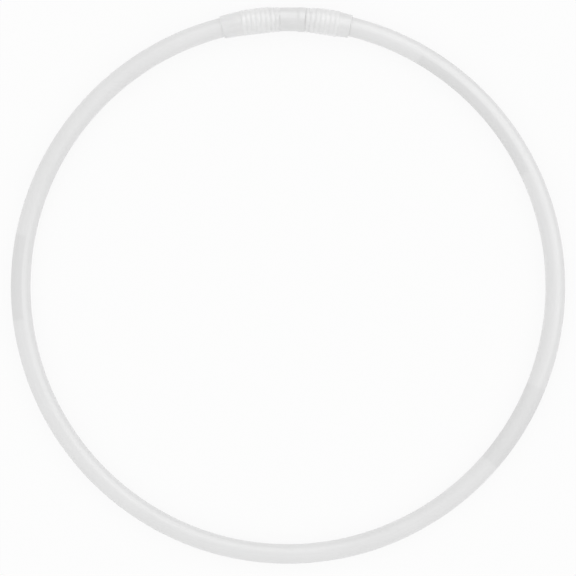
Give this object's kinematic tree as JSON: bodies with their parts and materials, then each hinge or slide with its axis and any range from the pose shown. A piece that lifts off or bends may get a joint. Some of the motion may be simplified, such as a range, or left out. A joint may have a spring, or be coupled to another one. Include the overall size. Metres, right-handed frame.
{
  "type": "rhythmic hoop",
  "caption": "White rhythmic gymnastics hoop: one plastic tube bent into a ring, closed by a plug joint with a bare neck and collar between two ribbed slide-on sleeves.",
  "frame": {"origin": "centre of the ring, in the middle plane of the tube", "axes": "+Z along the hoop's own axis, upward when it lies flat; +Y from the centre towards the joint; +X to the right of the joint seen from above"},
  "size_m": [0.6, 0.6026, 0.0282],
  "materials": {
    "tube_plastic": "satin",
    "connector_plastic": "matte",
    "sleeve_plastic": "satin",
    "pin_steel": "bright"
  },
  "bodies": {
    "ring": {"hoop_tube": "tube_plastic", "connector": "connector_plastic", "left_pin": "pin_steel", "right_pin": "pin_steel"},
    "left_grip": {"left_sleeve": "sleeve_plastic"},
    "right_grip": {"right_sleeve": "sleeve_plastic"}
  },
  "joints": [
    {"name": "left_sleeve_slide", "type": "hinge", "parent": "ring", "child": "left_grip", "pos_m": [0, 0, 0], "axis": [0, 0, 1], "range_deg": [0, 15]},
    {"name": "right_sleeve_slide", "type": "hinge", "parent": "ring", "child": "right_grip", "pos_m": [0, 0, 0], "axis": [0, 0, 1], "range_deg": [-15, 0]}
  ]
}
